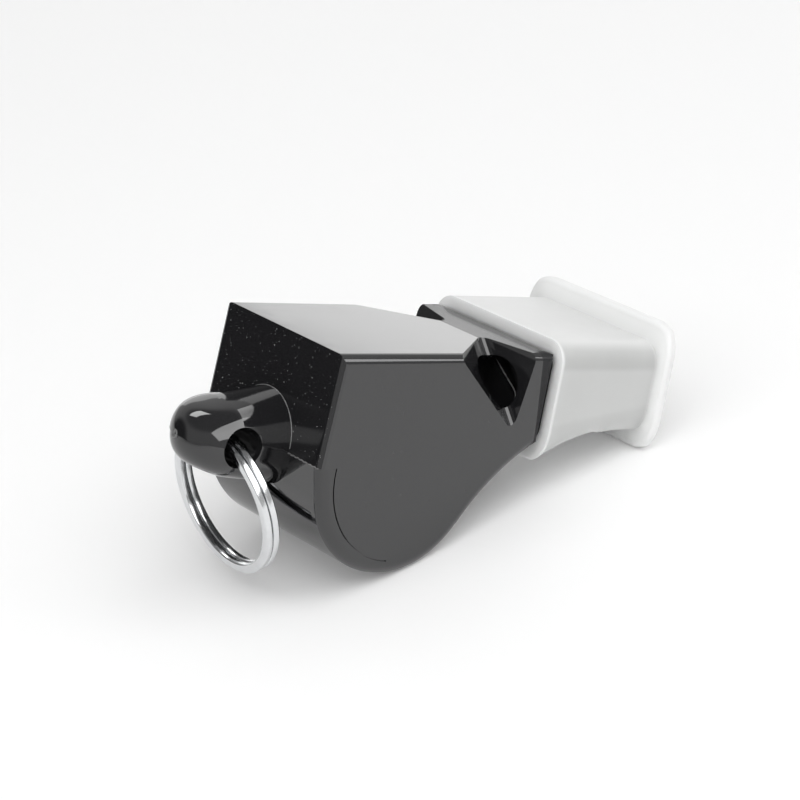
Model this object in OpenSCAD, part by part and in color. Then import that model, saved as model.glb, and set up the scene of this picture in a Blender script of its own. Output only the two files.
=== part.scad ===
// Pealess sports whistle: a two-part moulded housing with three chambers, a push-on
// mouth grip of soft silicone and a two-turn split ring in the lanyard lug.
// Lengths are millimetres and angles degrees. The whistle is drawn level, with the rear
// top edge at the origin, +X to the mouth and +Z up, and then set down in its rest pose:
// nose down, on the belly and the lower edge of the grip's lip, the ring hanging plumb.

/* [Housing] */
// Width over the side plates at the rear
body_w = 20; // [18:0.5:24]
// Lean of the rear wall, bottom further back
rear_lean = 3; // [0:0.5:6]
// Each side plate closes in by this angle towards the mouth
side_taper = 0.72; // [0:0.1:1.2]
// Radius of the round belly
belly_r = 10.4; // [9.8:0.1:11]
// Belly axis, distance from the rear top edge
belly_x = 10.3; // [10:0.1:11]
// Belly axis, depth under the top face
belly_z = 12.5; // [12:0.1:13]
// Rounding of the long top edges
top_edge_r = 1.1; // [0.6:0.1:1.6]
// Rounding of the upright rear edges
rear_edge_r = 0.7; // [0.4:0.1:1.5]
// Rounding of the belly's side edges
rim_edge_r = 1.25; // [0.8:0.05:1.3]
// Wall of the housing
wall = 1.3; // [1.1:0.1:1.6]
// Thickness of the partitions between the chambers
partition = 1; // [0.8:0.1:1.4]
// Inner width of the middle chamber
middle_w = 3.6; // [3:0.2:4]
// Depth of the welded seam under the top face, at the rear
seam_z = 11.45; // [11.2:0.05:11.6]
// Radius of the seam's arc on the side plates
seam_r = 9.31; // [9:0.01:9.4]
// Width and depth of the fine groove along the weld
seam_groove = 0.14; // [0.1:0.02:0.3]

/* [Neck and mouthpiece] */
// Front face of the block that the grip butts against
block_x = 28.1; // [27.5:0.1:29]
// Rounding of the block's upright front edges
block_edge_r = 1.3; // [0.6:0.1:1.6]
// Rise of the block's top over the top face
block_rise = 0.23; // [0:0.01:0.4]
// Where the neck's top starts to rise
neck_x = 22.6; // [21:0.1:23]
// Front end of the mouthpiece
mouth_x = 42.9; // [40.5:0.1:44]
// Width of the mouthpiece
mouth_w = 17.7; // [16.5:0.1:18]
// Depth of the mouthpiece's top under the top face
mouth_top = 0.2; // [0.1:0.1:0.6]
// Depth of the mouthpiece's underside
mouth_bottom = 6.25; // [6:0.05:6.6]
// Radius of the hollow curve from the belly to the mouthpiece
neck_r = 24.75; // [23.5:0.25:26]
// Rounding of the mouthpiece's long edges
mouth_edge_r = 1.2; // [0.8:0.1:1.6]
// Thickness of the lower housing along the neck
floor_wall = 0.95; // [0.9:0.05:1.1]

/* [Side notches and windows] */
// Start of the notch's rear flank on the side plate
notch_start_x = 14.45; // [13.5:0.05:15.5]
// Deepest point of the notch at the top, from the rear
notch_deep_x = 23.4; // [23:0.1:23.8]
// Half of the neck that is left between the notches at the top
notch_deep_y = 2.48; // [2.3:0.02:2.8]
// Lower end of the notch on the side plate, from the rear
notch_end_x = 23.8; // [23.5:0.1:24.2]
// Lower end of the notch, depth under the top face
notch_end_z = 8.13; // [7.8:0.05:8.6]
// Block side of the notch on the side plate, from the rear
notch_front_x = 25.2; // [24.8:0.1:25.6]
// Rounding in the bottom of the notch
valley_r = 0.9; // [0.5:0.1:1.2]
// Radius of the round window bored through the notch
window_r = 3.15; // [2.9:0.05:3.2]
// Window axis, from the middle plane
window_y = 5.6; // [5.4:0.05:5.7]
// Window axis, depth under the top face
window_z = 4.4; // [4.3:0.05:4.7]
// Angle of the window's axis to the whistle's long axis
window_turn = 3; // [0:0.5:4]
// Front end of the window, behind the block's front face
window_end = 2.7; // [2.2:0.1:3]
// Front end of the side chambers
chamber_x = 21.6; // [20:0.1:22]
// Height of the three air ducts
duct_h = 1.1; // [0.9:0.05:1.3]
// Length of each side duct's slanted slot
side_duct_w = 3.8; // [3:0.1:4]
// Middle of the side ducts, from the middle plane
side_duct_y = 5.9; // [5.7:0.1:6]
// Middle of the side ducts, depth under the top face
side_duct_z = 3.3; // [3.1:0.1:3.4]
// Length of the window under the neck
floor_window_len = 3.4; // [3:0.1:3.8]
// Distance of that window's front edge from the rear
floor_window_x = 27; // [26.5:0.1:27.4]

/* [Lanyard lug] */
// Radius of the lug's upper half
lug_r = 4.88; // [4.6:0.02:5]
// Radius of the lug's lower half
lug_low_r = 4.8; // [4.5:0.02:4.86]
// Depth of the lug's axis under the top face
lug_z = 10.98; // [10.8:0.02:11.1]
// Distance of the ring's hole behind the rear top edge
hole_x = 6.16; // [6:0.02:6.4]
// Radius of the hole
hole_r = 2.2; // [2.15:0.01:2.3]
// Depth of the pockets under the lug
pocket_depth = 0.9; // [0.5:0.1:1]
// Half width between the rims that bound the pockets
pocket_y = 8.4; // [8:0.1:8.6]
// Lower edge of the pockets at the middle plane, depth under the top face
pocket_low_in = 16.1; // [15.8:0.1:16.2]
// Lower edge of the pockets at the rims, depth under the top face
pocket_low_out = 17.8; // [17.2:0.1:18.2]

/* [Mouth grip] */
// Wall of the soft grip
grip_wall = 1.45; // [1.2:0.05:1.7]
// Gap between the grip and the mouthpiece
grip_gap = 0.08; // [0.05:0.01:0.2]
// Gap between the grip and the block
grip_end_gap = 0.1; // [0.05:0.05:0.3]
// Rounding of the grip's long edges
grip_edge_r = 2.4; // [1.6:0.1:2.8]
// Rear face of the lip
lip_x = 41.6; // [40:0.1:42]
// Thickness of the lip
lip_t = 1.9; // [1.5:0.1:2.4]
// Height of the lip over the grip's top
lip_up = 2.25; // [1.8:0.05:2.6]
// Reach of the lip under the grip
lip_down = 2.5; // [2:0.05:2.8]
// Reach of the lip beside the grip
lip_side = 1.6; // [1.2:0.1:2]
// Rounding of the lip's corners, seen from the front
lip_corner_r = 3.6; // [2.6:0.1:4.2]
// Rounding of the lip's edges
lip_edge_r = 0.7; // [0.4:0.05:0.75]

/* [Split ring] */
// Mean radius of the split ring
ring_r = 7.4; // [7:0.05:7.6]
// Thickness of the ring's wire, towards its middle
wire_t = 1; // [0.8:0.05:1.1]
// Width of the ring's wire, along its axis
wire_w = 0.76; // [0.6:0.02:0.85]
// Gap between the two turns
turn_gap = 0.06; // [0.04:0.01:0.12]
// Play of the ring in the lug's hole
ring_play = 0.2; // [0.15:0.05:0.4]
// Angle that the wire takes to step from one turn to the other
step_angle = 26; // [20:1:40]
// Place of that step round the ring, from its lowest point
step_at = 255; // [230:5:290]

/* [Hidden] */

$fn = 96;
far = 60;
side_y = body_w / 2;
belly = [belly_x, -belly_z];
lug_axis = [-hole_x, -lug_z];
rear_slope = tan(rear_lean);
seam_x = -seam_z * rear_slope;

// The seam's arc lies off the belly's axis, so the lower shell thins towards the front
seam_shift = [0.52, 0.45];
seam_centre = belly + seam_shift;

// Centre of the hollow curve, which touches the belly's circle
curve_z = -mouth_bottom - neck_r;
curve_x = belly_x + sqrt(pow(belly_r + neck_r, 2) - pow(curve_z + belly_z, 2));
curve = [curve_x, curve_z];

// Lower end of the straight rear wall, and where its tangent meets the belly
seam_rear = [seam_x, -seam_z];
tangent_len = sqrt(pow(norm(seam_rear - belly), 2) - pow(belly_r, 2));
tangent_turn = atan2(tangent_len, belly_r);
rear_angle = atan2(seam_rear[1] - belly[1], seam_rear[0] - belly[0]) + tangent_turn;
rear_out = [cos(rear_angle), sin(rear_angle)];
rear_touch = belly + belly_r * rear_out;
touch_angle = atan2(curve[1] - belly[1], curve[0] - belly[0]);

// The side edges under the neck are a little less rounded than the belly's, and all these
// roundings stop this much short of running out level with the skin
neck_edge_r = rim_edge_r - 0.1;
edge_land = 0.02;

// How far the lug's two halves reach into the shells
lug_root = 0.2;
lug_low_root = 2.6;
lug_bite = 0.4;

// Block, floor and ducts
block_y = side_y - block_x * tan(side_taper);
top_drop = 0.3;
floor_r = neck_r + floor_wall;
floor_top = -mouth_bottom + floor_wall;
duct_top_z = curve_z + sqrt(pow(floor_r + duct_h, 2) - pow(curve_x - floor_window_x, 2));
groove_in = seam_centre[0] * tan(side_taper) + seam_groove;

// Grip and lip
grip_y = mouth_w / 2 + grip_gap + grip_wall;
grip_top = -mouth_top + grip_gap + grip_wall;
grip_curve_r = neck_r - grip_gap - grip_wall;
grip_bottom = curve_z + grip_curve_r;
grip_x = block_x + grip_end_gap;
lip_front = lip_x + lip_t;
lip_top = grip_top + lip_up;
lip_bottom = grip_bottom - lip_down;
lip_y = grip_y + lip_side;

// Rest pose: the belly and the rounded lower edge of the lip both touch the floor
lip_low = [lip_front - lip_edge_r, lip_bottom + lip_edge_r];
reach = lip_low - belly;
rest_pitch = atan2(reach[1], reach[0]) + asin((belly_r - lip_edge_r) / norm(reach));
function down_x(p) = p[0] * cos(rest_pitch) + p[1] * sin(rest_pitch);
function down_z(p) = p[1] * cos(rest_pitch) - p[0] * sin(rest_pitch);
lip_high = [lip_front - lip_edge_r, lip_top - lip_edge_r];
x_front = down_x(lip_high) + lip_edge_r;
x_rear = down_x(lug_axis) - lug_low_r;
rest_x = -(x_front + x_rear) / 2;
rest_z = belly_r - down_z(belly);

// The ring hangs plumb from the hole: its axis is level in the rest pose
ring_drop = ring_r - ring_play;
ring_centre = [down_x(lug_axis) + rest_x, 0, down_z(lug_axis) + rest_z - ring_drop];

// Notch planes on the side of -Y, as points of the body's frame
notch_a = [notch_start_x, -side_y, 0];
notch_b = [notch_deep_x, -notch_deep_y, 0];
notch_c = [notch_end_x, -side_y + notch_end_x * tan(side_taper), -notch_end_z];
notch_d = [notch_front_x, -side_y + notch_front_x * tan(side_taper), 0];
function unit(v) = v / norm(v);
valley = unit(notch_b - notch_c);
rear_up = unit((notch_a - notch_b) - ((notch_a - notch_b) * valley) * valley);
front_up = unit((notch_d - notch_b) - ((notch_d - notch_b) * valley) * valley);
notch_angle = acos(rear_up * front_up);
notch_arm = [cos(notch_angle), sin(notch_angle)];
notch_out = cross(valley, rear_up);
notch_turn = [atan2(notch_out[2], valley[2]), -asin(rear_up[2]), atan2(rear_up[1], rear_up[0])];

// Moves a shape from the body's frame to the rest pose
module at_rest() {
  translate([rest_x, 0, rest_z]) rotate([0, rest_pitch, 0]) children();
}

// Extrudes a side outline, drawn as x and z, over the given half width
module across(half_w) {
  rotate([90, 0, 0]) translate([0, 0, -half_w]) linear_extrude(2 * half_w) children();
}

// Extrudes an end outline, drawn as y and z, from one x to another
module along(x0, x1) {
  translate([x0, 0, 0]) rotate([90, 0, 90]) linear_extrude(x1 - x0) children();
}

// Turns a profile, drawn as radius and y, about an axis across the whistle
module turned(centre, angle0, angle1) {
  translate([centre[0], 0, centre[1]]) rotate([90, 0, 0])
    rotate([0, 0, angle0]) rotate_extrude(angle = angle1 - angle0) children();
}

module both_sides() {
  children();
  mirror([0, 1, 0]) children();
}

// What a rounding takes off a corner; into points from the corner into the solid
module corner_cut(corner, into, r) {
  difference() {
    translate(corner + into * r / 2 - into * 0.25) square(r + 0.5, center = true);
    translate(corner + into * r) circle(r);
  }
}

// Rectangle with its two upper corners or its two right corners rounded
module round_box(low, high, r, rounded) {
  corners = [low, [high[0], low[1]], high, [low[0], high[1]]];
  into = [[1, 1], [-1, 1], [-1, -1], [1, -1]];
  difference() {
    translate(low) square(high - low);
    for (i = rounded) corner_cut(corners[i], into[i], r);
  }
}

// Side outline of the whole housing
module side_outline() {
  difference() {
    polygon([[0, 0], [neck_x, 0], [block_x - block_edge_r, block_rise],
      [block_x, block_rise - top_drop], [block_x, -mouth_top], [mouth_x, -mouth_top],
      [mouth_x, -mouth_bottom], [curve_x, -mouth_bottom], curve, [belly_x, curve_z],
      2 * rear_touch - seam_rear, seam_rear]);
    translate(curve) circle(neck_r);
    difference() {
      polygon([belly, curve, [belly_x, -far], [-far, -far], belly + far * rear_out]);
      translate(belly) circle(belly_r);
    }
  }
}

// What lies above the seam belongs to the upper housing
module above_seam() {
  difference() {
    polygon([[-1, 1], [mouth_x + 1, 1], [mouth_x + 1, floor_top], [curve_x, floor_top],
      curve, [-1, curve_z]]);
    translate(curve) circle(floor_r);
    difference() {
      polygon([seam_centre, curve, [belly_x, -far], [-far, -far], [-far, -seam_z],
        [seam_centre[0], -seam_z]]);
      translate(seam_centre) circle(seam_r);
    }
  }
}

// Space inside one tapered side plate, with the rounding of its long top edge
module side_limit(x0, x1, top) {
  translate([0, side_y, 0]) rotate([0, 0, -side_taper]) along(x0, x1) difference() {
    translate([-body_w - 4, -far / 2]) square([body_w + 4, far / 2 + top]);
    corner_cut([0, top], [-1, -1], top_edge_r);
  }
}

module between_sides(x0, x1, top) {
  intersection() {
    side_limit(x0, x1, top);
    mirror([0, 1, 0]) side_limit(x0, x1, top);
  }
}

// Rounds the upright edge at the rear, which leans with the rear wall, and the block's
module upright_edge_cut() {
  rotate([0, rear_lean, 0]) translate([0, 0, -seam_z - 1]) linear_extrude(far / 4)
    corner_cut([0, side_y], [1, -1], rear_edge_r);
  translate([0, 0, -far / 4]) linear_extrude(far / 3)
    corner_cut([block_x, block_y], [-1, -1], block_edge_r);
}

// Rounds the edge of the belly and of the hollow curve along a tapered side plate
module underside_edge_cut() {
  translate([0, side_y, 0]) rotate([0, 0, -side_taper]) {
    turned(belly, rear_angle, 360 + touch_angle)
      corner_cut([belly_r + edge_land, 0], [-1, 1], rim_edge_r);
    turned(curve, 110, 180 + touch_angle)
      corner_cut([neck_r - edge_land, 0], [1, 1], neck_edge_r);
  }
}

// Rounds the short straight edge from the weld down to the belly, at the rear
module rear_edge_cut() {
  translate([0, side_y, 0]) rotate([0, 0, -side_taper]) intersection() {
    translate([belly_x, 0, -belly_z]) rotate([90, 0, 0]) rotate([0, 0, rear_angle])
      rotate([90, 0, 0]) linear_extrude(tangent_len + 1)
        corner_cut([belly_r + edge_land, 0], [-1, 1], rim_edge_r);
    translate([-far / 2, -far / 2, -seam_z - far]) cube(far);
  }
}

// Body and block with every outer surface, before they are hollowed and split
module body_solid() {
  difference() {
    difference() {
      intersection() {
        union() {
          between_sides(-2, 24, 0);
          between_sides(20, block_x + 3, block_rise);
        }
        across(body_w) side_outline();
        translate([-2, -side_y, -far / 2]) cube([block_x + 2, body_w, far]);
      }
      both_sides() upright_edge_cut();
      both_sides() rear_edge_cut();
    }
    both_sides() underside_edge_cut();
  }
}

module mouthpiece_solid() {
  intersection() {
    along(block_x - 3, mouth_x)
      round_box([-mouth_w / 2, -far / 2], [mouth_w / 2, -mouth_top], mouth_edge_r, [2, 3]);
    across(mouth_w) side_outline();
    union() {
      across(mouth_w) polygon([[0, 3], [mouth_x + 1, 3],
        [mouth_x + 1, -mouth_bottom + mouth_edge_r], [block_x - 4, -mouth_bottom + mouth_edge_r]]);
      mouth_underside(mouth_x + 1, mouth_w / 2, neck_r, mouth_edge_r);
    }
  }
}

// Curved underside with rounded side edges, straight in front of the curve's highest point
module mouth_underside(x1, half_w, r, edge_r) {
  turned(curve, 90, 140) round_box([r, -half_w], [r + 9, half_w], edge_r, [0, 3]);
  along(curve_x, x1)
    round_box([-half_w, curve_z + r], [half_w, curve_z + r + 9], edge_r, [0, 1]);
}

// Frame of a notch: x up its rear flank, y out of the plastic, z up along the valley
module in_notch() {
  translate(notch_b) rotate(notch_turn) children();
}

// Wedge that cuts the notch on the side of -Y, with a rounded valley
module notch_cut() {
  centre = [valley_r / tan(notch_angle / 2), valley_r];
  turn = 180 - notch_angle;
  steps = 5;
  depth = 20;
  flank = 16;
  valley_line = [for (i = [0:steps]) centre - valley_r * [sin(turn * i / steps), cos(turn * i / steps)]];
  in_notch() translate([0, 0, -depth]) linear_extrude(depth + flank / 2)
    polygon(concat(valley_line, [flank * notch_arm, [flank, 0]]));
}

// Round window through the notch, from the side chamber into the block
module window_cut() {
  translate([notch_deep_x, -window_y, -window_z]) rotate([0, 0, window_turn])
    rotate([0, 90, 0]) translate([0, 0, chamber_x - 4 - notch_deep_x])
      cylinder(h = block_x - window_end - chamber_x + 4, r = window_r);
}

// Side chamber: it leaves one wall behind the rear flank of the notch
module side_chamber() {
  difference() {
    across(side_y - wall) intersection() {
      chamber_outline([chamber_x, -wall], [chamber_x, -far / 2]);
      above_seam();
    }
    translate([-far / 2, -middle_w / 2 - partition, -far / 2]) cube(far);
    in_notch() translate([-far / 2, -wall, -far / 2]) cube(far);
  }
}

// Middle chamber, whose roof slopes down to the duct over the window under the neck
module middle_chamber() {
  across(middle_w / 2) intersection() {
    chamber_outline([chamber_x - 1, -wall], [floor_window_x, duct_top_z]);
    above_seam();
  }
}

// Side view of a chamber, one wall inside the top and the leaning rear wall
module chamber_outline(front_top, front_low) {
  polygon([[wall, -wall], front_top, front_low, [front_low[0], -far / 2],
    [wall + seam_x, -far / 2], [wall + seam_x, -seam_z]]);
}

// Middle air duct, which follows the floor to the mouth
module middle_duct() {
  across(middle_w / 2) {
    intersection() {
      polygon([[floor_window_x - 0.5, 0], [curve_x, 0], [curve_x, -far / 3],
        [floor_window_x - 0.5, -far / 3]]);
      difference() {
        translate(curve) circle(floor_r + duct_h);
        translate(curve) circle(floor_r);
      }
    }
    translate([curve_x - 1, floor_top]) square([mouth_x + 2 - curve_x, duct_h]);
  }
}

// Slanted side duct, in line with the valley of its notch
module side_duct() {
  slant = atan(valley[2] / valley[1]);
  along(block_x - window_end - 0.2, mouth_x + 1)
    translate([-side_duct_y, -side_duct_z]) rotate(slant)
      square([side_duct_w, duct_h], center = true);
}

// Lug with a round end, about the axis that its two halves share
module lug(root_x, r) {
  translate([-hole_x, 0, -lug_z]) {
    rotate([0, 90, 0]) cylinder(h = hole_x + root_x, r = r);
    sphere(r);
  }
}

module lug_upper() {
  intersection() {
    lug(lug_root, lug_r);
    translate([-far / 2, -far / 2, -lug_z]) cube(far);
  }
}

// Lower half of the lug, rooted in the shell under the weld
module lug_lower() {
  difference() {
    lug(lug_low_root, lug_low_r);
    translate([-far / 2, -far / 2, -lug_z]) cube(far);
    across(side_y) polygon([[0, 0], seam_rear, [far, -seam_z], [far, 0]]);
    across(side_y) translate(seam_centre) circle(seam_r + lug_bite);
  }
}

module ring_hole() {
  translate([-hole_x, 0, -lug_z]) rotate([90, 0, 0])
    cylinder(h = 4 * lug_r, r = hole_r, center = true);
}

// Recess under the lug, between the two rims, with a sloping lower edge
module pocket_cut() {
  bottom_r = belly_r - pocket_depth;
  intersection() {
    across(pocket_y) difference() {
      polygon([[-4, 1 - seam_z], [belly_x, 1 - seam_z], belly, [-4, -far / 3]]);
      translate(belly) rotate(rear_angle) {
        circle(bottom_r);
        translate([0, -2 * tangent_len]) square([bottom_r, 2 * tangent_len]);
      }
    }
    along(-4, belly_x) polygon([[-pocket_y, 1 - seam_z], [-pocket_y, -pocket_low_out],
      [0, -pocket_low_in], [pocket_y, -pocket_low_out], [pocket_y, 1 - seam_z]]);
  }
}

// Fine groove along the weld on both side plates, from the rear to under the belly
module weld_groove() {
  both_sides() translate([seam_centre[0], side_y - groove_in, seam_centre[1]])
    rotate([-90, 0, 0]) rotate([0, 0, 94]) rotate_extrude(angle = 90)
      translate([seam_r - seam_groove / 2, 0]) square([seam_groove, 1]);
}

module upper_housing() {
  color("#1b1b1d") at_rest() difference() {
    union() {
      intersection() {
        union() {
          body_solid();
          mouthpiece_solid();
        }
        across(body_w) above_seam();
      }
      lug_upper();
    }
    both_sides() notch_cut();
    both_sides() window_cut();
    both_sides() side_chamber();
    both_sides() side_duct();
    middle_chamber();
    middle_duct();
    ring_hole();
    weld_groove();
  }
}

module lower_housing() {
  color("#1d1d1f") at_rest() difference() {
    union() {
      difference() {
        union() {
          body_solid();
          mouthpiece_solid();
        }
        across(body_w) above_seam();
        pocket_cut();
      }
      lug_lower();
    }
    translate([floor_window_x - floor_window_len, -middle_w / 2, -far / 2])
      cube([floor_window_len, middle_w, far / 2 - mouth_bottom]);
    ring_hole();
    weld_groove();
  }
}

// Sleeve of the grip, as large as its outside or its inside
module sleeve(x0, x1, half_w, top, r, edge_r) {
  intersection() {
    along(x0, x1) round_box([-half_w, -far / 2], [half_w, top], edge_r, [2, 3]);
    union() {
      across(half_w + 1) difference() {
        polygon([[x0 - 1, top + 1], [x1 + 1, top + 1], [x1 + 1, curve_z + r + edge_r],
          [curve_x, curve_z + r + edge_r], curve, [x0 - 1, curve_z]]);
        translate(curve) circle(r + edge_r);
      }
      mouth_underside(x1 + 1, half_w, r, edge_r);
    }
  }
}

// Lip with rounded corners, all its edges rounded
module lip() {
  difference() {
    along(lip_x, lip_front)
      round_box([-lip_y, lip_bottom], [lip_y, lip_top], lip_corner_r, [0, 1, 2, 3]);
    for (face = [[lip_x, 1], [lip_front, -1]]) lip_edge_cut(face[0], face[1]);
  }
}

// Takes the sharp edge off one face of the lip, all the way round
module lip_edge_cut(face_x, into_x) {
  low = [-lip_y, lip_bottom];
  high = [lip_y, lip_top];
  centre = (low + high) / 2;
  half = (high - low) / 2;
  for (s = [-1, 1]) {
    across(half[0] - lip_corner_r)
      corner_cut([face_x, centre[1] + s * half[1]], [into_x, -s], lip_edge_r);
    translate([0, 0, centre[1] - half[1] + lip_corner_r]) linear_extrude(2 * (half[1] - lip_corner_r))
      corner_cut([face_x, s * half[0]], [into_x, -s], lip_edge_r);
    for (t = [-1, 1])
      translate([face_x, s * (half[0] - lip_corner_r), centre[1] + t * (half[1] - lip_corner_r)])
        rotate([0, 90, 0]) rotate([0, 0, corner_turn(s, t)]) rotate_extrude(angle = 90)
          corner_cut([lip_corner_r, 0], [-1, into_x], lip_edge_r);
  }
}

// Quarter of a corner, seen along the whistle, with y to the right
function corner_turn(s, t) = t > 0 ? (s > 0 ? 90 : 180) : (s > 0 ? 0 : 270);

module mouth_grip() {
  color("#e6e8e6") at_rest() difference() {
    union() {
      sleeve(grip_x, lip_x + 0.5, grip_y, grip_top, grip_curve_r, grip_edge_r);
      lip();
    }
    sleeve(grip_x - 1, lip_front + 1, mouth_w / 2 + grip_gap, -mouth_top + grip_gap,
      neck_r - grip_gap, mouth_edge_r);
  }
}

// Two turns of flat wire with one step between them, in one piece
module split_ring() {
  layer = (wire_w + turn_gap) / 2;
  turn = 360 - step_angle;
  color("#c9ccce") translate(ring_centre) rotate([0, 90, 0]) {
    for (s = [-1, 1]) translate([0, 0, s * layer])
      rotate([0, 0, step_at + step_angle / 2]) rotate_extrude(angle = turn)
        translate([ring_r, 0]) square([wire_t, wire_w], center = true);
    wire_step(layer);
  }
}

// Straight piece of wire that leads from one turn to the other
module wire_step(layer) {
  half = step_angle / 2;
  run = 2 * ring_r * sin(half);
  lean = atan2(2 * layer, run);
  rotate([0, 0, step_at]) translate([ring_r * cos(half), 0, 0])
    rotate([lean, 0, 0]) cube([wire_t, run / cos(lean) + 0.3, wire_w], center = true);
}

upper_housing();
lower_housing();
mouth_grip();
split_ring();
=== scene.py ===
"""Studio picture of a pealess sports whistle that rests nose down on a white table."""
from math import cos, hypot, pi, radians, sin, sqrt

import bpy
from mathutils import Matrix, Vector


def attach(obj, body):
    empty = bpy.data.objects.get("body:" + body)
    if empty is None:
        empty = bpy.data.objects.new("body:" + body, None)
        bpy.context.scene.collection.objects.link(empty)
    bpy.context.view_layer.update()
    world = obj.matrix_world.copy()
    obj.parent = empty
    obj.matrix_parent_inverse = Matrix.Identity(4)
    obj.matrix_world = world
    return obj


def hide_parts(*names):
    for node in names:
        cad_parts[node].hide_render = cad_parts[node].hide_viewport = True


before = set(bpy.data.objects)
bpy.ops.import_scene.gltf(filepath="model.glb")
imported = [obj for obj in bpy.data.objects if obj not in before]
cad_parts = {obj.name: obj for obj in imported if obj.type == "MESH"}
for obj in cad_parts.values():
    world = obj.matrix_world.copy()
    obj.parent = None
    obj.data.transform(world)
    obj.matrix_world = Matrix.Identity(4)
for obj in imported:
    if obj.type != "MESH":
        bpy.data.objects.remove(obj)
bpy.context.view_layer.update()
scene = bpy.context.scene
scene.view_settings.view_transform = "Standard"
MM = 0.001

# The whistle is described level, in millimetres, with the rear top edge at the origin,
# +X to the mouth and +Z up, and then turned nose down into its rest pose.
REST_PITCH = 22.427376
REST_SHIFT = Vector((-13.339222, 0, 25.884123))
TURN = Matrix.Rotation(radians(REST_PITCH), 3, "Y")

# Split ring, in the rest pose: it hangs plumb, its axis level and along the whistle
RING_CENTRE = Vector((-23.2223, 0, 10.8847))
RING_R = 7.4
WIRE_T = 1.0
WIRE_W = 0.76
WIRE_CORNER = 0.2
WIRE_LAYER = 0.41
WIRE_END = 0.82
STEP_AT = 180
STEP_ANGLE = 26
TURN_STEPS = 90
CROSSING_STEPS = 12

# Lanyard lug, level: its height as a share of the CAD lug's, at the hole and per millimetre
# towards the root, and its length beyond the hole as a share, at the hole and more at the tip
LUG_AXIS = (-6.16, -10.98)
LUG_R = 4.88
LUG_ROOT = -0.2
LUG_TOP_DRAFT = (0.765, 0.041)
LUG_UNDER_DRAFT = (0.81, 0.05)
LUG_UNDER_MOST = 1.04
LUG_TIP_LENGTH = (0.84, 0.1)
SLACK = 0.05

# Belly, and the pockets in it under the lug
BELLY = (10.3, -12.5)
BELLY_R = 10.4
REAR_ANGLE = 192.7
POCKET_DEPTH = 0.9
POCKET_DEPTH_SLACK = 0.04
POCKET_Y = 8.4
POCKET_LOWEST = -18
POCKET_HIGHEST = -5
POCKET_FILL = 0.65

# Rounded side edge, and the plane where the belly's rounding meets the hollow curve's
EDGE_Y = 8.64
EDGE_R = 1.12
FIN_X = 19.141
FIN_X_SLACK = 0.02
FIN_R_SLACK = 0.01

# Rear wall's lean per millimetre down, the weld on it, and the gate mark at the lug's tip
REAR_SLOPE = 0.0524
SEAM_REAR = (-0.6, -11.45)
GATE = (-10.68, 0.5, -10.95)
BEAD_R = 0.06

# Rib in the right window, as distances from the middle plane and heights
WINDOW_RIB_X = 25.36
WINDOW_RIB_R = 0.07
WINDOW_RIB = [(-3.2, -1.85), (-3.33, -1.96), (-4.67, -2.9), (-5.96, -3.69), (-7.27, -4.57),
              (-7.42, -5.6), (-7.01, -6.37), (-6.07, -6.99), (-5.4, -7.5)]

# Mouth grip, level: the sleeve's outside, the hollow curve's centre and the lip
GRIP_Y = 10.4
GRIP_TOP = 1.4
GRIP_BOTTOM = -8.2
GRIP_INSIDE_Y = 9
GRIP_INSIDE_R = 24
CURVE = (40.1877, -31)
LIP_FROM = 41.3
LIP_FRONT = 43.5
LIP_LENGTH = 1.9
LIP_REACH = 0.67
LIP_THINNER = 0.35
LIP_BEVEL_FROM = 42.6
LIP_BEVEL = 0.4

# The underside sinks from nothing at one distance from the hollow curve's centre to all a
# little nearer to it, and more at the front than at the rear
SINK_FROM_R = 25.62
SINK_OVER = 1.7
SINK_FRONT_X = 36
SINK_FRONT = 0.7
SINK_REAR = 0.45

# Photograph's camera: its focal length in pixels of the picture
PICTURE_PX = 800
FOCAL_PX = 3022.7
SENSOR = 36.0


def at_rest(point):
    """A point of the level whistle, in millimetres, as a point of the resting one, in metres."""
    return (TURN @ Vector(point) + REST_SHIFT) * MM


def level(point):
    """A point of the resting whistle, in metres, as a point of the level one, in millimetres."""
    return TURN.transposed() @ (Vector(point) / MM - REST_SHIFT)


class Value:
    """One number that changes over a surface; sums and products of it add Math nodes."""

    def __init__(self, nodes, socket):
        self.nodes = nodes
        self.socket = socket

    def math(self, operation, *others):
        return self.nodes.add("ShaderNodeMath", {"operation": operation}, [self, *others])

    def __add__(self, other):
        return self.math("ADD", other)

    def __radd__(self, other):
        return self.math("ADD", other)

    def __sub__(self, other):
        return self.math("SUBTRACT", other)

    def __rsub__(self, other):
        return self.nodes.add("ShaderNodeMath", {"operation": "SUBTRACT"}, [other, self])

    def __mul__(self, other):
        return self.math("MULTIPLY", other)

    def __rmul__(self, other):
        return self.math("MULTIPLY", other)

    def ramp(self, low, high):
        """0 below low, 1 above high and smooth between; low may be the higher one."""
        settings = {"interpolation_type": "SMOOTHSTEP"}
        return self.nodes.add("ShaderNodeMapRange", settings, [self, low, high, 0.0, 1.0])


class Nodes:
    """A node tree under construction."""

    def __init__(self, tree):
        self.tree = tree

    def add(self, kind, settings, inputs, output=0):
        """New node: its settings first, then its inputs by place or by name."""
        node = self.tree.nodes.new(kind)
        for key, value in settings.items():
            setattr(node, key, value)
        rows = inputs.items() if isinstance(inputs, dict) else enumerate(inputs)
        for key, value in rows:
            self.feed(node.inputs[key], value)
        return Value(self, node.outputs[output])

    def feed(self, socket, value):
        if isinstance(value, Value):
            self.tree.links.new(value.socket, socket)
        else:
            socket.default_value = value


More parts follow.
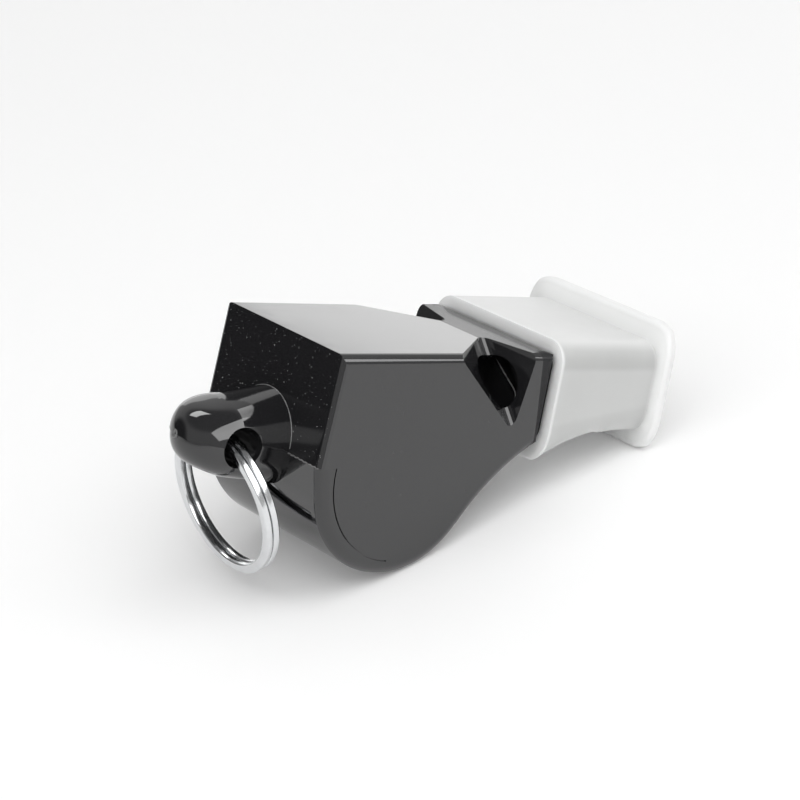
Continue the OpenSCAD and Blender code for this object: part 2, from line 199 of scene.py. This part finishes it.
class Finish(Nodes):
    """A material under construction."""

    def __init__(self, name, **constants):
        self.material = bpy.data.materials.new(name)
        self.material.use_nodes = True
        super().__init__(self.material.node_tree)
        self.shader = self.tree.nodes["Principled BSDF"]
        for socket, value in constants.items():
            self.shader.inputs[socket.replace("_", " ")].default_value = value
        self.place = self.add("ShaderNodeTexCoord", {}, [], "Object")

    def set(self, socket, value):
        self.feed(self.shader.inputs[socket], value)

    def level_axis(self, i):
        """Coordinate of the surface point in the level whistle, in millimetres."""
        column = TURN.col[i]
        along = self.add("ShaderNodeVectorMath", {"operation": "DOT_PRODUCT"},
                         [self.place, tuple(column / MM)], "Value")
        return along - REST_SHIFT.dot(column)

    def noise(self, scale, detail=2.0):
        inputs = {"Vector": self.place, "Scale": scale, "Detail": detail}
        return self.add("ShaderNodeTexNoise", {}, inputs, "Fac")

    def mix(self, factor, a, b):
        """Colour that goes from a to b with the factor."""
        return self.add("ShaderNodeMix", {"data_type": "RGBA"}, {0: factor, 6: a, 7: b}, 2)

    def matt(self, factor, colour, roughness):
        """The finish goes over into a matt one with the factor."""
        inputs = {"Base Color": colour, "Roughness": roughness, "Specular IOR Level": 0.15}
        second = self.add("ShaderNodeBsdfPrincipled", {}, inputs)
        first = Value(self, self.shader.outputs[0])
        both = self.add("ShaderNodeMixShader", {}, [factor, first, second])
        self.feed(self.tree.nodes["Material Output"].inputs[0], both)

    def bump(self, height, distance, strength):
        inputs = {"Strength": strength, "Distance": distance, "Height": height}
        self.set("Normal", self.add("ShaderNodeBump", {}, inputs, "Normal"))


def glossy_black():
    """Glossy moulded plastic, with dust on the rear wall and painted shade at the block's edge: a
    matt strip that takes away the reflection there.
    """
    finish = Finish("glossy_black_moulding", IOR=1.7)
    x, y, z = [finish.level_axis(i) for i in range(3)]
    off_wall = x - z * REAR_SLOPE
    rear_wall = off_wall.ramp(-0.12, -0.06) * off_wall.ramp(0.12, 0.06)
    specks = finish.noise(5500.0, 1.0).ramp(0.745, 0.765) * (rear_wall * 0.95 + 0.04)
    finish.set("Base Color", finish.mix(specks, (0.012, 0.012, 0.013, 1), (0.45, 0.45, 0.45, 1)))
    haze = finish.noise(160.0, 3.0)
    finish.set("Roughness", haze * 0.06 + 0.035 + rear_wall * 0.06)
    finish.bump(finish.noise(420.0, 2.0), 0.00002, 0.25)
    # Painted shade: a matt strip along the block's rounded front edge stands in for the dark band
    # that this edge shows
    past_block_edge = (x + z * 0.12).ramp(25.95, 26.15)
    painted_shade_strip = past_block_edge * y.math("ABSOLUTE").ramp(8.3, 8.7)
    finish.matt(painted_shade_strip * 0.85, (0.016, 0.016, 0.017, 1), 0.5)
    return finish.material


def highlit_black_plastic():
    """Black plastic painted grey in random patches as painted highlight, for the fine ribs and
    beads that catch the light.
    """
    finish = Finish("black_plastic_painted_highlight", IOR=1.6)
    # Painted highlight: the grey in the base colour stands in for the light that the thin ribs
    # and beads catch
    painted_glint = finish.noise(2400.0, 2.0)
    finish.set("Base Color", finish.mix(painted_glint, (0.03, 0.03, 0.03, 1), (0.28, 0.28, 0.28, 1)))
    finish.set("Roughness", painted_glint * 0.2 + 0.2)
    finish.bump(finish.noise(3000.0, 2.0), 0.00003, 0.6)
    return finish.material


def milky_silicone():
    """Soft silicone, greyer where it covers the black mouthpiece, with painted shade on the
    sides, the rounded upper edge and the underside.
    """
    finish = Finish("milky_silicone", IOR=1.41, Subsurface_Weight=0.9,
                    Subsurface_Radius=(1.0, 1.0, 1.0), Subsurface_Scale=0.002)
    x, y, z = [finish.level_axis(i) for i in range(3)]
    over_mouthpiece = x.ramp(28.3, 28.7) * x.ramp(41.9, 41.2)
    side = y.math("ABSOLUTE").ramp(8.4, 10.2)
    upper_edge = z.ramp(1.2, 0.4) * z.ramp(-1.7, -0.9)
    underside = (z - x * 0.16).ramp(-11.5, -12.3)
    cloud = finish.noise(260.0, 3.0) * 0.12
    # Greyer where the black mouthpiece shows through, and painted shade: the sides, the rounded
    # upper edge and the underside darker as they are lit less; the cloud is random tone
    show_through_and_painted_shade = over_mouthpiece * (side * 0.4 + upper_edge * 0.25 + underside * 0.1 + 0.2) + cloud
    finish.set("Base Color", finish.mix(show_through_and_painted_shade, (0.86, 0.865, 0.86, 1), (0.5, 0.505, 0.5, 1)))
    finish.set("Roughness", finish.noise(700.0, 2.0) * 0.12 + 0.3)
    finish.bump(finish.noise(2600.0, 3.0), 0.00002, 0.3)
    return finish.material


def plated_steel():
    """Bright plating with a fine drawn unevenness."""
    finish = Finish("bright_plated_steel", Metallic=1.0)
    tint = finish.noise(900.0)
    finish.set("Base Color", finish.mix(tint, (0.62, 0.63, 0.64, 1), (0.76, 0.77, 0.78, 1)))
    finish.set("Roughness", finish.noise(1500.0, 2.0) * 0.12 + 0.1)
    finish.bump(finish.noise(3000.0, 2.0), 0.00001, 0.2)
    return finish.material


def dress(piece, material):
    piece.data.materials.clear()
    piece.data.materials.append(material)


def new_piece(name, points, faces, material):
    """Smooth mesh object from points in metres."""
    mesh = bpy.data.meshes.new(name)
    mesh.from_pydata([tuple(p) for p in points], [], faces)
    mesh.validate()
    mesh.shade_smooth()
    piece = bpy.data.objects.new(name, mesh)
    scene.collection.objects.link(piece)
    dress(piece, material)
    return piece


def rounded_section(width, height, r, steps):
    """Outline of a rectangle with rounded corners, anticlockwise about the origin."""
    outline = []
    for corner, (u, v) in enumerate([(1, 1), (-1, 1), (-1, -1), (1, -1)]):
        for i in range(steps + 1):
            a = (corner + i / steps) * pi / 2
            outline.append((u * (width / 2 - r) + r * cos(a), v * (height / 2 - r) + r * sin(a)))
    return outline


def skin(rings):
    """Faces of a closed tube through rings of points, with both ends capped."""
    n = len(rings[0])
    faces = []
    for k in range(len(rings) - 1):
        for i in range(n):
            j = (i + 1) % n
            faces.append((k * n + i, k * n + j, (k + 1) * n + j, (k + 1) * n + i))
    last = (len(rings) - 1) * n
    return [tuple(reversed(range(n))), *faces, tuple(range(last, last + n))]


def split_ring(material):
    """Flat wire in two turns, which steps across once, with two blunt ends."""
    section = rounded_section(WIRE_T, WIRE_W, WIRE_CORNER, 3)
    start = STEP_AT + STEP_ANGLE / 2
    turn = 360 - STEP_ANGLE
    rows = [(0, WIRE_END), (0.5, 1.0)]
    rows += [(turn * i / TURN_STEPS, 1.0) for i in range(1, TURN_STEPS + 1)]
    rows += [(turn + STEP_ANGLE * i / CROSSING_STEPS, 1.0) for i in range(1, CROSSING_STEPS)]
    rows += [(360 + turn * i / TURN_STEPS, 1.0) for i in range(TURN_STEPS)]
    rows += [(360 + turn - 0.5, 1.0), (360 + turn, WIRE_END)]
    rings = []
    for run, size in rows:
        a = radians(start + run)
        t = min(max((run - turn) / STEP_ANGLE, 0), 1)
        layer = WIRE_LAYER * (2 * t * t * (3 - 2 * t) - 1)
        out = Vector((0, sin(a), -cos(a)))
        rings.append([(RING_CENTRE + out * (RING_R + u * size)
                       + Vector((layer + v * size, 0, 0))) * MM for u, v in section])
    points = [p for ring in rings for p in ring]
    ring = new_piece("split_ring_wire", points, skin(rings), material)
    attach(ring, "ring")
    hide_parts("split_ring")


def reshaped(node, name, body, material, move):
    """Copy of a CAD node's mesh with its points moved in the level whistle."""
    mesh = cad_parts[node].data.copy()
    mesh.name = name
    for vertex in mesh.vertices:
        vertex.co = at_rest(move(level(vertex.co)))
    piece = bpy.data.objects.new(name, mesh)
    scene.collection.objects.link(piece)
    dress(piece, material)
    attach(piece, body)
    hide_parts(node)


def drafted_lug(place):
    """The lug is lower at its tip than at its root, on both sides of the weld."""
    x, y, z = place
    along, up = x - LUG_AXIS[0], z - LUG_AXIS[1]
    if hypot(y, up) > LUG_R + SLACK or x > LUG_ROOT:
        return place
    at_hole, growth = LUG_TOP_DRAFT if up > 0 else LUG_UNDER_DRAFT
    draft = at_hole + growth * along
    if up <= 0:
        draft = min(draft, LUG_UNDER_MOST)
    share = min(abs(up) / LUG_R, 1) ** 2
    if along < 0:
        at_hole, more = LUG_TIP_LENGTH
        along *= at_hole + more * min(abs(along) / LUG_R, 1) ** 2
    return Vector((LUG_AXIS[0] + along, y, LUG_AXIS[1] + up * (1 + (draft - 1) * share)))


def shallow_pocket(place):
    """The pockets' floor comes up to the depth that the photograph shows."""
    x, y, z = place
    across, down = x - BELLY[0], z - BELLY[1]
    c, s = cos(radians(REAR_ANGLE)), sin(radians(REAR_ANGLE))
    out, below = across * c + down * s, -across * s + down * c
    r = out if below < 0 else hypot(out, below)
    depth = BELLY_R - r
    if abs(depth - POCKET_DEPTH) > POCKET_DEPTH_SLACK or abs(y) > POCKET_Y + SLACK:
        return place
    if z < POCKET_LOWEST or below < POCKET_HIGHEST:
        return place
    lift = POCKET_DEPTH * POCKET_FILL
    if below < 0:
        return place + Vector((c, 0, s)) * lift
    return Vector((x + across / r * lift, y, z + down / r * lift))


def trimmed_fin(place):
    """Lays the thin fin that the rounding left, where belly and curve meet, on the round edge."""
    x, y, z = place
    across, down = x - BELLY[0], z - BELLY[1]
    r, over = hypot(across, down), abs(y) - EDGE_Y
    if over < 0 or abs(r - BELLY_R) > FIN_R_SLACK or abs(x - FIN_X) > FIN_X_SLACK or down > 0:
        return place
    sunk = EDGE_R - sqrt(max(EDGE_R ** 2 - over ** 2, 0))
    return Vector((x - across / r * sunk, y, z - down / r * sunk))


def moulded_grip(place):
    """Thinner lip and a deeper underside than the CAD grip's."""
    x, y, z = place
    side = 1 if y > 0 else -1
    from_curve = hypot(min(x - CURVE[0], 0), z - CURVE[1])
    if x > LIP_FROM and (abs(y) > GRIP_Y or z > GRIP_TOP or z < GRIP_BOTTOM):
        wide = abs(y)
        if wide > GRIP_Y:
            wide = GRIP_Y + (wide - GRIP_Y) * LIP_REACH
        if x > LIP_BEVEL_FROM:
            wide -= LIP_BEVEL * (x - LIP_BEVEL_FROM)
        return Vector((x + LIP_THINNER * (LIP_FRONT - x) / LIP_LENGTH, side * wide, z))
    if abs(y) > GRIP_INSIDE_Y or from_curve < GRIP_INSIDE_R:
        sunk = min(max((SINK_FROM_R - from_curve) / SINK_OVER, 0), 1)
        return Vector((x, y, z - sunk * (SINK_FRONT if x > SINK_FRONT_X else SINK_REAR)))
    return place


def thread(name, points, r, material):
    """Thin rounded rib through points of the level whistle, which rides on the housing."""
    rings = []
    for i, point in enumerate(points):
        ahead = Vector(points[min(i + 1, len(points) - 1)]) - Vector(points[max(i - 1, 0)])
        side = ahead.cross(Vector((0, 0, 1))).normalized()
        over = side.cross(ahead).normalized()
        rings.append([at_rest(Vector(point) + (side * cos(a) + over * sin(a)) * r)
                      for a in [k * pi / 4 for k in range(8)]])
    rib = new_piece(name, [p for ring in rings for p in ring], skin(rings), material)
    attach(rib, "whistle")


def smooth_line(points, steps):
    """Points along a smooth curve through the given ones."""
    rows = [Vector(p) for p in points]
    rows = [rows[0] * 2 - rows[1], *rows, rows[-1] * 2 - rows[-2]]
    line = []
    for a, b, c, d in zip(rows, rows[1:], rows[2:], rows[3:]):
        for k in range(steps):
            t = k / steps
            line.append((b * 2 + (c - a) * t + (a * 2 - b * 5 + c * 4 - d) * t * t
                         + (b * 3 - a - c * 3 + d) * t ** 3) / 2)
    return [*line, rows[-2]]


def window_ribs(material):
    """Fine rib on the blind end of each round window."""
    for side, name in [(1, "right_window_rib"), (-1, "left_window_rib")]:
        path = [(WINDOW_RIB_X, side * y, z) for y, z in WINDOW_RIB]
        thread(name, smooth_line(path, 6), WINDOW_RIB_R, material)


def weld_flash(material):
    """Fine uneven bead that the weld left on the rear wall, beside the lug."""
    for side, name in [(-1, "right_weld_bead"), (1, "left_weld_bead")]:
        path = []
        for k in range(41):
            y = 4.7 + 5.0 * k / 40
            wave = 0.05 * sin(9.1 * y) + 0.04 * sin(23.7 * y + 1)
            path.append((SEAM_REAR[0] + 0.02, side * y, SEAM_REAR[1] + wave))
        thread(name, path, BEAD_R, material)


def lug_root_bead(material):
    """Fine bead where the lug's upper half meets the rear wall."""
    path = []
    for k in range(49):
        a = pi * k / 48
        z = LUG_AXIS[1] + LUG_R * sin(a)
        path.append((z * REAR_SLOPE - 0.01, -LUG_R * cos(a), z))
    thread("lug_root_bead", path, BEAD_R, material)


def gate_mark(material):
    """Small round scar with a raised rim, where the plastic came in at the lug's tip."""
    outline = [(0.2, 0.03), (0.3, 0.12), (0.4, 0.14), (0.46, 0.08), (0.48, -0.2)]
    rings = []
    for r, out in outline:
        rings.append([at_rest((GATE[0] - out, GATE[1] + r * cos(a), GATE[2] + r * sin(a)))
                      for a in [k * pi / 12 for k in range(24)]])
    mark = new_piece("gate_mark", [p for ring in rings for p in ring], skin(rings), material)
    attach(mark, "whistle")


def table():
    """White table; the camera and mirrors see it a little brighter, but it lights nothing."""
    mesh = bpy.data.meshes.new("table")
    far = 3.0
    mesh.from_pydata([(-far, -far, 0), (far, -far, 0), (far, far, 0), (-far, far, 0)], [],
                     [(0, 1, 2, 3)])
    floor = bpy.data.objects.new("table", mesh)
    scene.collection.objects.link(floor)
    finish = Finish("white_table", Roughness=0.6, Emission_Strength=1.0)
    finish.set("Base Color", finish.mix(finish.noise(3.0), (0.89, 0.89, 0.89, 1),
                                        (0.9, 0.9, 0.9, 1)))
    seen, mirrored, through = [finish.add("ShaderNodeLightPath", {}, [], ray) for ray in
                               ("Is Camera Ray", "Is Glossy Ray", "Is Transmission Ray")]
    finish.set("Emission Color", (seen + mirrored + through) * 0.12)
    dress(floor, finish.material)


def towards(azimuth, elevation):
    """Direction from the object, in degrees round from +X and up from the table."""
    flat = cos(radians(elevation))
    return Vector((flat * cos(radians(azimuth)), flat * sin(radians(azimuth)),
                   sin(radians(elevation))))


def softbox(name, azimuth, elevation, distance, size, brightness, shows, lift=0.0):
    """Rectangular lamp that faces the object; brightness 1 shows as white in a mirror.

    A lamp either lights the surfaces, as "diffuse", or shows in them, as "glossy".
    """
    data = bpy.data.lights.new(name, "AREA")
    data.shape = "RECTANGLE"
    data.size, data.size_y = size
    data.energy = brightness * pi * size[0] * size[1]
    obj = bpy.data.objects.new(name, data)
    away = towards(azimuth, elevation)
    obj.location = away * distance + Vector((0, 0, lift))
    obj.rotation_euler = away.to_track_quat("Z", "Y").to_euler()
    obj.visible_diffuse = "diffuse" in shows
    obj.visible_glossy = "glossy" in shows
    scene.collection.objects.link(obj)


def room():
    """Soft grey room with a dark ceiling and one dark corner, behind the whistle on the left."""
    world = bpy.data.worlds.new("room")
    world.use_nodes = True
    walls = Nodes(world.node_tree)
    where = walls.add("ShaderNodeTexCoord", {}, [], "Generated")
    along = walls.add("ShaderNodeVectorMath", {"operation": "DOT_PRODUCT"},
                      [where, towards(132, 2)], "Value")
    height = walls.add("ShaderNodeSeparateXYZ", {}, [where], "Z")
    background = world.node_tree.nodes["Background"]
    background.inputs["Color"].default_value = (1, 1, 1, 1)
    walls.feed(background.inputs["Strength"],
               (along.ramp(0.93, 0.8) * 0.96 + 0.04) * (height.ramp(0.75, 0.5) * 0.32 + 0.18))
    scene.world = world


def studio():
    room()
    softbox("front_softbox", -85, 60, 0.6, (0.7, 0.5), 1.9, shows=("diffuse",))
    softbox("rear_softbox", -170, 45, 0.6, (0.5, 0.4), 1.4, shows=("diffuse",))
    softbox("top_softbox", 0, 88, 1.2, (1.6, 1.6), 0.45, shows=("diffuse",))
    softbox("front_window", -76, 40, 0.6, (1.38, 0.42), 3.2, shows=("glossy",))
    softbox("right_window", 8, 36, 0.6, (0.38, 0.08), 1.8, shows=("glossy",))
    softbox("upper_window", 88, 58, 0.6, (0.3, 0.18), 5.0, shows=("glossy",))
    softbox("low_board", 48, 0, 0.25, (0.3, 0.0185), 1.08, lift=0.00935, shows=("glossy",))
    softbox("high_board", 48, 0, 0.25, (0.3, 0.08), 0.75, lift=0.06, shows=("glossy",))


def camera():
    """Camera of the photograph, found from the whistle's own edges."""
    eye = Vector((-181.50, -227.20, 64.93))
    right = Vector((0.76929, -0.61161, 0.18472))
    up = Vector((0.00777, 0.29806, 0.95452))
    look = Vector((0.63885, 0.73287, -0.23405))
    data = bpy.data.cameras.new("camera")
    data.sensor_width = SENSOR
    data.lens = FOCAL_PX * SENSOR / PICTURE_PX
    data.clip_start = 0.01
    obj = bpy.data.objects.new("camera", data)
    axes = Matrix((TURN @ right, TURN @ up, -(TURN @ look))).transposed()
    obj.matrix_world = Matrix.Translation(at_rest(eye)) @ axes.to_4x4()
    scene.collection.objects.link(obj)
    scene.camera = obj


table()
studio()
camera()

black = glossy_black()
silicone = milky_silicone()
highlit = highlit_black_plastic()
steel = plated_steel()
for node, material in [("upper_housing", black), ("lower_housing", black),
                       ("mouth_grip", silicone), ("split_ring", steel)]:
    dress(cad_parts[node], material)
split_ring(steel)
reshaped("upper_housing", "upper_shell", "whistle", black, drafted_lug)
reshaped("lower_housing", "lower_shell", "whistle", black,
         lambda place: trimmed_fin(drafted_lug(shallow_pocket(place))))
reshaped("mouth_grip", "soft_mouth_grip", "grip", silicone, moulded_grip)
window_ribs(highlit)
weld_flash(highlit)
gate_mark(highlit)
lug_root_bead(highlit)
